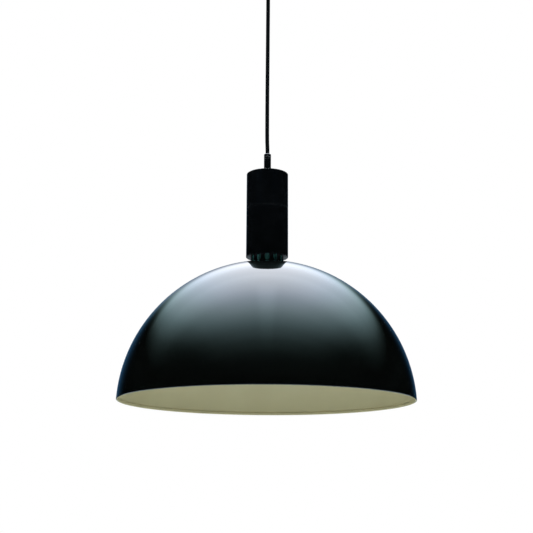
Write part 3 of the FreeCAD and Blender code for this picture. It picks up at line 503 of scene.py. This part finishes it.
LOWER_HEIGHT = 86.4
NECK_HOLE = 28.9
turned("housing_lower", "lower_sleeve", "lamp", "housing_paint", [HOUSING], rounded([
    (NECK_HOLE, 0),
    (END_FACE, 0),
    (HOUSING_RADIUS, 0, 0.5),
    (HOUSING_RADIUS, LOWER_HEIGHT, 0.15),
    (HOUSING_BORE, LOWER_HEIGHT),
    (HOUSING_BORE, END_WALL, 0.8),
    (NECK_HOLE, END_WALL),
]), flute_angles, shape=fluted)


# ---------------------------------------------------------------- lamp's cord grip

GRIP_RADIUS = 6.2
GRIP_HEIGHT = 38.3
GROOVE_LEVEL = GRIP_HEIGHT - 8.9
GROOVE_HALF = 0.25
GROOVE_DEPTH = 0.35
SHOULDER = 32.9
GRIP_SPIGOT = 5.2
GRIP_SPIGOT_TOP = 34.4
COLLET_BORE = 4.7
COLLET_FOOT = 28.85
CORD_BORE = 3.75
THREAD_BORE = 5.05
THREAD_TOP = 14.2
grip = turned("grip_tube", "grip_body", "lamp", "housing_paint", [HOUSING], rounded([
    (THREAD_BORE, 0),
    (GRIP_RADIUS, 0, 0.25),
    (GRIP_RADIUS, GROOVE_LEVEL - GROOVE_HALF, 0.1),
    (GRIP_RADIUS - GROOVE_DEPTH, GROOVE_LEVEL - GROOVE_HALF, 0.08),
    (GRIP_RADIUS - GROOVE_DEPTH, GROOVE_LEVEL + GROOVE_HALF, 0.08),
    (GRIP_RADIUS, GROOVE_LEVEL + GROOVE_HALF, 0.1),
    (GRIP_RADIUS, SHOULDER, 0.25),
    (GRIP_SPIGOT, SHOULDER),
    (GRIP_SPIGOT, GRIP_SPIGOT_TOP),
    (COLLET_BORE, GRIP_SPIGOT_TOP),
    (COLLET_BORE, COLLET_FOOT),
    (CORD_BORE, COLLET_FOOT),
    (CORD_BORE, THREAD_TOP),
    (THREAD_BORE, THREAD_TOP),
]), 96)

COLLAR_HEIGHT = 5.3
COLLAR_BORE = 5.25
COLLAR_BORE_TOP = 1.5
CHAMFER = 1
MOUTH = 4.73
THROAT = 4.0
MOUTH_DEPTH = 3
collar = turned("grip_collar", "grip_cap", "lamp", "housing_paint", [HOUSING], rounded([
    (COLLAR_BORE, 0),
    (GRIP_RADIUS, 0, 0.25),
    (GRIP_RADIUS, COLLAR_HEIGHT - CHAMFER, 0.3),
    (GRIP_RADIUS - CHAMFER, COLLAR_HEIGHT, 0.2),
    (MOUTH, COLLAR_HEIGHT, 0.2),
    (THROAT, COLLAR_HEIGHT - MOUTH_DEPTH),
    (THROAT, COLLAR_BORE_TOP),
    (COLLAR_BORE, COLLAR_BORE_TOP),
]), 96)


# ---------------------------------------------------------------- shade

DOME = 250.3
WALL = 1.0
DOME_HEIGHT = 238.4
CENTRE = DOME_HEIGHT - DOME
SEAT_RADIUS = 30.0
SHADE_HOLE = 24.0
HEM = 2.2
HEM_HEIGHT = 4.5
HEM_STEPS = 12
DOME_STEPS = 96


def dome_level(radius, reach):
    """The level of a dome of a radius where it is a reach away from its axis."""
    return math.sqrt(radius ** 2 - reach ** 2) + CENTRE


def dome_reach(radius, height):
    """A dome's reach at a level."""
    return math.sqrt(radius ** 2 - (height - CENTRE) ** 2)


def dome_arc(radius, start, end, steps):
    """Points (reach, level) on a dome between two levels, evenly round its arc."""
    first = math.asin((start - CENTRE) / radius)
    last = math.asin((end - CENTRE) / radius)
    turns = [first + (last - first) * step / steps for step in range(steps + 1)]
    return [(radius * math.cos(turn), radius * math.sin(turn) + CENTRE) for turn in turns]


roll = HEM / 2
seat_level = dome_level(DOME, SEAT_RADIUS)
roll_reach = dome_reach(DOME, roll) - roll
inside_foot = HEM_HEIGHT + HEM - WALL
outer = dome_arc(DOME, roll, seat_level, DOME_STEPS)
seat = rounded([
    (SEAT_RADIUS, seat_level),
    (SHADE_HOLE, seat_level, 0.25),
    (SHADE_HOLE, seat_level - WALL, 0.25),
    (dome_reach(DOME - WALL, seat_level - WALL), seat_level - WALL),
])[1:-1]
inner = dome_arc(DOME - WALL, seat_level - WALL, inside_foot, DOME_STEPS)
hem = [(roll_reach - roll, HEM_HEIGHT)]
for number in range(HEM_STEPS + 1):
    turn = math.pi + math.pi * number / HEM_STEPS
    hem.append((roll_reach + roll * math.cos(turn), roll + roll * math.sin(turn)))
shade_outline = outer + seat + inner + hem[:-1]
# The khaki runs from the flat face under the seat to the hem's lowest point.
khaki_start = len(outer) + len(seat) - 2
khaki_end = len(outer) + len(seat) + len(inner) + HEM_STEPS // 2 + 1
shade_zones = [int(khaki_start <= run < khaki_end) for run in range(len(shade_outline))]
turned("shade_bowl", "shade", "lamp", "shade_enamel", [ENAMEL, KHAKI], shade_outline, 256,
       zones=shade_zones, crease=30)


# ---------------------------------------------------------------- vented neck

NECK_INSIDE = 23.6
NECK_OUTSIDE = 28.6
NECK_FLANGE = 33.5
NECK_TOP = 16.4
FLANGE_TOP = 18.9
SLOTS = 12
SLOT_REACH = 3.75
SLOT_LOW = 6.85
SLOT_HIGH = 11.85
SLOT_ROUNDING = 0.6
END_STEPS = 16
EDGE_STEPS = 4
# How far the ring of points round a slot's edge lies on the way to the cell's outline.
EDGE_SHARE = 0.3
# The first runs, the bore and the slots' walls, are painted teal: a painted glint and glow in the
# slots.
GLINT_PAINTED_RUNS = 2
WELD = 0.001
CELL = math.tau / SLOTS


def slot_outline(grow):
    """A slot's round-ended outline, grown all round, from its right side: (across, level)."""
    reach = SLOT_REACH + grow
    turns = [math.pi * number / END_STEPS for number in range(END_STEPS + 1)]
    upper = [(reach * math.cos(turn), SLOT_HIGH + reach * math.sin(turn)) for turn in turns]
    lower = [(-reach * math.cos(turn), SLOT_LOW - reach * math.sin(turn)) for turn in turns]
    return upper + lower


def cell_outline():
    """The outline of a slot's share of the wall, in step with slot_outline: (angle, level)."""
    half = CELL / 2
    quarter = END_STEPS // 4
    upper = []
    for number in range(END_STEPS + 1):
        rise = min(1, number / quarter, (END_STEPS - number) / quarter)
        across = max(-1, min(1, (END_STEPS / 2 - number) / quarter))
        upper.append((half * across, SLOT_HIGH + (NECK_TOP - SLOT_HIGH) * rise))
    lower = [(-angle, SLOT_LOW - (height - SLOT_HIGH) * SLOT_LOW / (NECK_TOP - SLOT_HIGH))
             for angle, height in upper]
    return upper + lower


def neck_mesh():
    """The slotted neck. Each slot's edge is softened on the outside, and its walls run straight in.
    The first runs, which are the bore and the slots' walls, have the lampholder's teal as a painted
    glint: it stands in for the teal light seen in the slots."""
    def around(outline, radius):
        return [(math.asin(across / radius), height, radius) for across, height in outline]

    def partway(one, other, share):
        return [tuple(here + (there - here) * share for here, there in zip(*pair))
                for pair in zip(one, other)]

    whole = bmesh.new()
    crown = [(NECK_OUTSIDE, NECK_TOP), (NECK_FLANGE, NECK_TOP), (NECK_FLANGE, FLANGE_TOP),
             (NECK_INSIDE, FLANGE_TOP), (NECK_INSIDE, NECK_TOP)]
    columns = SLOTS * END_STEPS // 2
    whole.from_mesh(revolve("neck_crown", crown, columns, closed=False))
    foot_ring = [(NECK_OUTSIDE, 0), (NECK_INSIDE, 0)]
    whole.from_mesh(revolve("neck_foot", foot_ring, columns, closed=False))
    rings = [[(angle, height, NECK_INSIDE) for angle, height in cell_outline()],
             around(slot_outline(0), NECK_INSIDE),
             around(slot_outline(0), NECK_OUTSIDE - SLOT_ROUNDING)]
    for number in range(1, EDGE_STEPS + 1):
        turn = math.pi / 2 * number / EDGE_STEPS
        rings.append(around(slot_outline(SLOT_ROUNDING * (1 - math.cos(turn))),
                            NECK_OUTSIDE - SLOT_ROUNDING * (1 - math.sin(turn))))
    cell = [(angle, height, NECK_OUTSIDE) for angle, height in cell_outline()]
    rings.append(partway(rings[-1], cell, EDGE_SHARE))
    rings.append(cell)
    for number in range(SLOTS):
        rows = [[whole.verts.new((radius * math.cos(angle + number * CELL) * MM,
                                  radius * math.sin(angle + number * CELL) * MM, height * MM))
                 for angle, height, radius in ring] for ring in rings]
        for run, (one, other) in enumerate(zip(rows, rows[1:])):
            for spot in range(len(one)):
                beside = (spot + 1) % len(one)
                face = whole.faces.new((one[spot], one[beside], other[beside], other[spot]))
                # The first runs take the lampholder's teal as a painted glint.
                face.material_index = int(run < GLINT_PAINTED_RUNS)
    bmesh.ops.remove_doubles(whole, verts=whole.verts, dist=WELD * MM)
    bmesh.ops.translate(whole, verts=whole.verts, vec=(0, 0, foot("vent_neck") * MM))
    return finished_mesh("neck_slotted", whole, 40)


# The neck's bore and slot walls take the lampholder's teal as a painted glint.
place("neck_slotted", neck_mesh(), "lamp", "housing_paint", [NECK, HOLDER], "vent_neck")


# ---------------------------------------------------------------- shade's ring and lampholder

RING_INSIDE = 23.6
RING_RADIUS = 29.4
RING_HEIGHT = 2
turned("ring_under", "shade_ring", "lamp", "zinc_steel", [ZINC], rounded([
    (RING_INSIDE, 0, 0.3),
    (RING_RADIUS, 0, 0.5),
    (RING_RADIUS, RING_HEIGHT, 0.1),
    (RING_INSIDE, RING_HEIGHT, 0.1),
]), 160)

SKIRT_RADIUS = 20
SKIRT_BORE = 17.8
SKIRT_HOLE = 14.3
SKIRT_FLOOR = 4
SKIRT_LIP = 21
LIP_FOOT = 30
SKIRT = 34
GROOVED = (9, 25)
GROOVE_GAP = 4
groove_floor = SKIRT_RADIUS - 0.6
skirt_grooves = []
for middle in levels(*GROOVED, GROOVE_GAP):
    skirt_grooves += [
        (SKIRT_RADIUS, middle - 0.9, 0.3), (groove_floor, middle - 0.5, 0.2),
        (groove_floor, middle + 0.5, 0.2), (SKIRT_RADIUS, middle + 0.9, 0.3)]
turned("skirt_ribbed", "holder_skirt", "lamp", "holder_plastic", [HOLDER], rounded([
    (SKIRT_HOLE, 0, 0.6),
    (SKIRT_RADIUS, 0, 1.2),
    *skirt_grooves,
    (SKIRT_RADIUS, LIP_FOOT, 0.2),
    (SKIRT_LIP, LIP_FOOT, 0.4),
    (SKIRT_LIP, SKIRT, 0.1),
    (SKIRT_BORE, SKIRT),
    (SKIRT_BORE, SKIRT_FLOOR),
    (SKIRT_HOLE, SKIRT_FLOOR),
]), 128)

HOOD_BORE = 19.2
HOOD_EAVES = 8
HOOD_NECK = 9
HOOD_NECK_FOOT = 18
HOOD_TOP = 26
HOOD_ROOF = 15.5
HOOD_ROOF_RADIUS = 8.1
HOOD_WALL_TOP = 6.2
turned("cap_domed", "holder_cap", "lamp", "holder_plastic", [HOLDER], rounded([
    (HOOD_BORE, 0),
    (SKIRT_LIP, 0, 0.1),
    (SKIRT_LIP, HOOD_EAVES, 1.5),
    (HOOD_NECK, HOOD_NECK_FOOT, 1.5),
    (HOOD_NECK, HOOD_TOP, 0.6),
    (THREAD_BORE, HOOD_TOP, 0.2),
    (THREAD_BORE, HOOD_ROOF),
    (HOOD_ROOF_RADIUS, HOOD_ROOF),
    (HOOD_BORE, HOOD_WALL_TOP),
]), 128)

THREAD_PITCH = 3.6
THREAD_STEP = 0.3
BORE = 13.5
BORE_LENGTH = 23.7
BORE_WALL = 0.6
BORE_DEPTH = 0.25
BORE_THREAD = (1.5, 22)
CONTACT_HOLE = 3.0
turned("shell_threaded", "holder_shell", "lamp", "brass", [BRASS], (
    [(BORE, height) for height in levels(0, BORE_LENGTH - BORE_WALL, THREAD_STEP)]
    + [(CONTACT_HOLE, BORE_LENGTH - BORE_WALL), (CONTACT_HOLE, BORE_LENGTH)]
    + [(BORE + BORE_WALL, height) for height in levels(0, BORE_LENGTH, 4)][::-1]
), 96, shape=threaded(BORE_DEPTH, THREAD_PITCH, *BORE_THREAD))


# ---------------------------------------------------------------- bulb

CREST = 13.1
CREST_DEPTH = 0.85
CREST_THREAD = (3.6, 17.4)
SHELL = 18
SHELL_WALL = 0.4
SHELL_TIP = (10, 19)
SHELL_TIP_INSIDE = (9.6, 18.6)
SHELL_END = 12
shell_thread = threaded(CREST_DEPTH, THREAD_PITCH, *CREST_THREAD)


def bulb_threaded(angle, radius, height):
    """The bulb's thread, which leaves the shell's closed end plain."""
    return shell_thread(angle, radius, height) if radius > SHELL_END else radius


turned("shell_of_bulb", "bulb_shell", "bulb", "bulb_metal", [BULB_METAL], (
    [(CREST, height) for height in levels(0, SHELL, THREAD_STEP)]
    + [SHELL_TIP, SHELL_TIP_INSIDE]
    + [(CREST - SHELL_WALL, height) for height in levels(0, SHELL - SHELL_WALL, 0.4)][::-1]
), 96, shape=bulb_threaded)

LOOP = 7.8
LOOP_TURN = math.radians(300)
COIL = 0.5
COIL_TURNS = 70
COIL_STEPS = 10
COIL_WIRE = 0.12
LEAD_WIRE = 0.3
# A lead's points: (distance from the bulb's axis, height over the loop), from the stem outwards.
LEAD = ((3.7, 9.2), (3.7, 3), (4.0, 1.6), (4.9, 0.6), (6.2, 0.1), (LOOP, 0))
loop_level = foot("bulb_filament") + COIL + 0.1
coil = []
for number in range(COIL_TURNS * COIL_STEPS + 1):
    along = LOOP_TURN * number / (COIL_TURNS * COIL_STEPS)
    turn = math.tau * number / COIL_STEPS
    reach = LOOP + COIL * math.cos(turn)
    coil.append((reach * math.cos(along), reach * math.sin(along),
                 loop_level + COIL * math.sin(turn)))
leads = []
for turn in (0, LOOP_TURN):
    across, along = math.cos(turn), math.sin(turn)
    leads.append([(reach * across, reach * along, loop_level + rise) for reach, rise in LEAD])
place("filament_coil", wire("filament_coil", [coil], COIL_WIRE, 6),
      "bulb", "filament_wire", [TUNGSTEN], "bulb_filament")
place("filament_leads", wire("filament_leads", leads, LEAD_WIRE, 10),
      "bulb", "filament_wire", [CONTACT], "bulb_filament")


# ---------------------------------------------------------------- canopy and its cord grip

CANOPY_RADIUS = 50.0
CANOPY_FILLET = 6
CANOPY_WALL = 1.2
CANOPY_TOP = 31.5
cup = turned("canopy_cup", "canopy", "ceiling", "housing_paint", [CANOPY], rounded([
    (TUBE_HOLE, 0, 0.2),
    (CANOPY_RADIUS, 0, CANOPY_FILLET),
    (CANOPY_RADIUS, CANOPY_TOP, 0.3),
    (CANOPY_RADIUS - CANOPY_WALL, CANOPY_TOP, 0.3),
    (CANOPY_RADIUS - CANOPY_WALL, CANOPY_WALL, CANOPY_FILLET - CANOPY_WALL),
    (TUBE_HOLE, CANOPY_WALL),
], steps=10), 192)

FLANGE_RADIUS = 9
FLANGE_FOOT = 11.5
OUTLET_HEIGHT = 14
STEM_RADIUS = 5
STEM_TOP = 21.5
THROAT_TOP = 4.2
outlet = turned("canopy_outlet", "canopy_grip", "ceiling", "grip_nylon", [GRIP], rounded([
    (MOUTH, 0, 0.2),
    (GRIP_RADIUS - CHAMFER, 0, 0.2),
    (GRIP_RADIUS, CHAMFER, 0.3),
    (GRIP_RADIUS, FLANGE_FOOT, 0.3),
    (FLANGE_RADIUS, FLANGE_FOOT, 0.3),
    (FLANGE_RADIUS, OUTLET_HEIGHT, 0.2),
    (STEM_RADIUS, OUTLET_HEIGHT),
    (STEM_RADIUS, STEM_TOP, 0.3),
    (CORD_BORE, STEM_TOP),
    (CORD_BORE, THROAT_TOP),
    (THROAT, THROAT_TOP),
    (THROAT, MOUTH_DEPTH),
]), 96)

out_of_mirror(cord, upper, grip, collar, cup, outlet)


# ---------------------------------------------------------------- carried-over nodes

redress(STEEL, "mounting_plate")
redress(CANOPY, "canopy_screws")
redress(ZINC, "cap_washer", "cap_nut", "threaded_tube", "shade_screws", "canopy_grip_screw",
        "terminal_screws", "block_screws")
redress(BRASS, "terminal_tubes")
redress(NYLON, "terminal_block")
redress(GRIP, "canopy_grip_nut", "grip_collet", "holder_lock_nut")
redress(PORCELAIN, "holder_insert")
redress(BRASS, "holder_contact", "holder_terminals", "holder_terminal_screws")
redress(JACKET, "lamp_cord_end", "ceiling_cord_end")
for core, sleeve in SLEEVES.items():
    redress(sleeve, f"ceiling_{core}_core", f"holder_{core}_core")
redress(GLASS, "bulb_glass", "bulb_stem")
redress(BLACK_GLASS, "bulb_insulator")
redress(CONTACT, "bulb_contact")
out_of_mirror(*(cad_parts[node] for node in (
    "mounting_plate", "canopy_screws", "canopy_grip_nut", "canopy_grip_screw", "ceiling_cord_end",
    "terminal_block", "terminal_tubes", "terminal_screws", "block_screws",
    "ceiling_live_core", "ceiling_neutral_core", "ceiling_earth_core",
    "grip_collet", "lamp_cord_end", "cap_washer", "cap_nut", "threaded_tube")))


# ---------------------------------------------------------------- floor and light

FLOOR = -2700
FLOOR_RADIUS = 6000
floor_outline = [(0, FLOOR), (FLOOR_RADIUS / 2, FLOOR), (FLOOR_RADIUS, FLOOR)]
floor_mesh = revolve("floor", floor_outline, 96, closed=False)
floor = bpy.data.objects.new("floor", floor_mesh)
bpy.context.scene.collection.objects.link(floor)
pale = finish("floor_pale", (0.8, 0.8, 0.79), 0.7)
tint(pale, noise(pale, 3, 4), [(0.3, (0.78, 0.78, 0.77)), (0.7, (0.82, 0.82, 0.81))])
floor_mesh.materials.append(pale)

# One soft light hangs overhead. Its curves are points of (degrees, share), from the horizon behind
# the lamp over the top to the one in front, but SIDEWAYS goes from the light's middle to its side.
# NARROWING times NARROWEST is how many times narrower the light is at that place.
HALF_TURN = 180
QUARTER_TURN = 90
LIGHT_POWER = 6.0
OVERHEAD = [(0, 0), (15, 0.01), (20, 0.05), (25, 0.12), (30, 0.28), (35, 0.485), (45, 0.65),
            (50, 0.68), (60, 0.81), (70, 0.98), (80, 0.995), (85, 0.95), (95, 0.79), (105, 0.615),
            (110, 0.495), (120, 0.278), (125, 0.188), (130, 0.127), (135, 0.07), (140, 0.041),
            (145, 0.016), (160, 0.001), (180, 0)]
SIDEWAYS = [(0, 1), (15, 0.93), (25, 0.755), (35, 0.485), (50, 0.09), (55, 0.032), (65, 0.002),
            (75, 0), (90, 0)]
NARROWEST = 3
NARROWING = [(0, 1), (20, 0.93), (30, 0.75), (35, 0.595), (40, 0.472), (50, 0.373), (60, 0.333),
             (110, 0.333), (130, 0.36), (180, 0.36)]
WARMTH = [(0, 1), (76, 0.95), (85, 0.9), (95, 0.76), (110, 0.48), (130, 0.12), (145, 0), (180, 0)]
LIGHT_COLOURS = [(0.0, (0.60, 1.0, 0.97)), (0.12, (0.64, 1.0, 1.04)), (0.27, (0.67, 1.0, 1.07)),
                 (0.5, (0.745, 1.0, 1.10)), (0.7, (0.81, 1.0, 1.16)), (0.85, (0.87, 1.0, 1.17)),
                 (0.93, (0.905, 1.0, 1.13)), (1.0, (0.96, 1.0, 1.09))]
# Low down, the light's middle lies a little to one side.
LEAN = 2.5
LEAN_LEVEL = 15
LEAN_HEIGHT = 25
# A faint brighter streak runs along the light's middle.
STREAK = 0.13
STREAK_WIDTH = 4.5
STREAK_RISE = (72, 92)
# A dim blue glow stands low behind the lamp.
GLOW_COLOUR = (0.03, 0.10, 0.20)
GLOW_WIDTH = 29
GLOW_LEVEL = 10
GLOW_HEIGHT = 16
# Below the horizon the pale floor's light carries on, and the backdrop greys towards the ceiling.
FLOOR_LIGHT = 1.5
FLOOR_COLOUR = (0.86, 1.0, 1.1)
HORIZON = (12, 19)
CEILING = (28.4, 40)
CEILING_SHARE = 0.42
WHITE = (1.0, 1.0, 1.0)
DEGREES = 180 / math.pi

world = bpy.data.worlds.new("studio")
bpy.context.scene.world = world
world.use_nodes = True
nodes, links = world.node_tree.nodes, world.node_tree.links
nodes.clear()


def compute(kind, source, other=None):
    """One operation on a number in the world's nodes."""
    node = nodes.new("ShaderNodeMath")
    node.operation = kind
    links.new(source, node.inputs[0])
    if isinstance(other, (int, float)):
        node.inputs[1].default_value = other
    elif other is not None:
        links.new(other, node.inputs[1])
    return node.outputs[0]


def curve(source, points, last):
    """A smooth line through points of (degrees, share) up to the last degree, over a source."""
    node = nodes.new("ShaderNodeFloatCurve")
    spots = node.mapping.curves[0].points
    for number, (degrees, share) in enumerate(points):
        spot = spots[number] if number < 2 else spots.new(degrees / last, share)
        spot.location = (degrees / last, share)
    node.mapping.update()
    links.new(compute("DIVIDE", source, last), node.inputs["Value"])
    return node.outputs["Value"]


def bell(source, middle, width):
    """A flat-topped hump round a middle, over a source in degrees."""
    off = compute("DIVIDE", compute("SUBTRACT", source, middle), width)
    fall = compute("POWER", compute("ABSOLUTE", off), 4)
    return compute("EXPONENT", compute("MULTIPLY", fall, -1))


def between(source, start, end):
    """A smooth step from 0 at the start to 1 at the end."""
    node = nodes.new("ShaderNodeMapRange")
    node.interpolation_type = "SMOOTHSTEP"
    node.inputs["From Min"].default_value = start
    node.inputs["From Max"].default_value = end
    links.new(source, node.inputs["Value"])
    return node.outputs["Result"]


def background(colour, strength):
    """Light of one colour, or of a colour from the world's nodes."""
    node = nodes.new("ShaderNodeBackground")
    if isinstance(colour, tuple):
        node.inputs["Color"].default_value = (*colour, 1)
    else:
        links.new(colour, node.inputs["Color"])
    links.new(strength, node.inputs["Strength"])
    return node.outputs["Background"]


def both(one, other):
    """Two lights together."""
    node = nodes.new("ShaderNodeAddShader")
    links.new(one, node.inputs[0])
    links.new(other, node.inputs[1])
    return node.outputs[0]


direction = nodes.new("ShaderNodeTexCoord")
split = nodes.new("ShaderNodeSeparateXYZ")
links.new(direction.outputs["Generated"], split.inputs[0])
# Where a direction points, in degrees: elevation goes from the horizon behind the lamp over the top
# and on round below, above does so between the horizons alone, and aside is how far it is from the
# light's middle.
right, back, up = (split.outputs[axis] for axis in "XYZ")
elevation = compute("MULTIPLY", compute("ARCTAN2", up, back), DEGREES)
above = compute("MULTIPLY", compute("ARCTAN2", compute("MAXIMUM", up, 0), back), DEGREES)
lean = compute("MULTIPLY", bell(elevation, LEAN_LEVEL, LEAN_HEIGHT), LEAN)
rightward = compute("MULTIPLY", compute("ARCSINE", right), DEGREES)
aside = compute("ABSOLUTE", compute("ADD", rightward, lean))

narrowing = curve(above, NARROWING, HALF_TURN)
narrowed = compute("MULTIPLY", compute("MULTIPLY", aside, narrowing), NARROWEST)
spread = curve(narrowed, SIDEWAYS, QUARTER_TURN)
streak_power = compute("MULTIPLY", between(above, *STREAK_RISE), STREAK)
streak = compute("MULTIPLY", bell(narrowed, 0, STREAK_WIDTH), streak_power)
share = compute("MULTIPLY", curve(above, OVERHEAD, HALF_TURN), compute("ADD", spread, streak))
tones = nodes.new("ShaderNodeValToRGB")
links.new(compute("MULTIPLY", spread, curve(above, WARMTH, HALF_TURN)), tones.inputs["Fac"])
stops = tones.color_ramp.elements
for number, (where, colour) in enumerate(LIGHT_COLOURS):
    stop = stops[number] if number < 2 else stops.new(where)
    stop.position = where
    stop.color = (*colour, 1)
overhead = background(tones.outputs["Color"], compute("MULTIPLY", share, LIGHT_POWER))
glow_across = bell(aside, 0, GLOW_WIDTH)
glow_along = bell(elevation, GLOW_LEVEL, GLOW_HEIGHT)
glow = background(GLOW_COLOUR, compute("MULTIPLY", glow_across, glow_along))
rise = compute("MULTIPLY", compute("ARCSINE", up), DEGREES)
below = between(compute("MULTIPLY", rise, -1), *HORIZON)
beyond = background(FLOOR_COLOUR, compute("MULTIPLY", below, FLOOR_LIGHT))
backdrop = compute("ADD", compute("MULTIPLY", between(rise, *CEILING), -CEILING_SHARE), 1)

# The camera sees the backdrop, and everything else sees the lights.
path = nodes.new("ShaderNodeLightPath")
mix = nodes.new("ShaderNodeMixShader")
links.new(path.outputs["Is Camera Ray"], mix.inputs["Fac"])
links.new(both(both(overhead, glow), beyond), mix.inputs[1])
links.new(background(WHITE, backdrop), mix.inputs[2])
output = nodes.new("ShaderNodeOutputWorld")
links.new(mix.outputs[0], output.inputs["Surface"])
bpy.context.scene.view_settings.view_transform = "Standard"
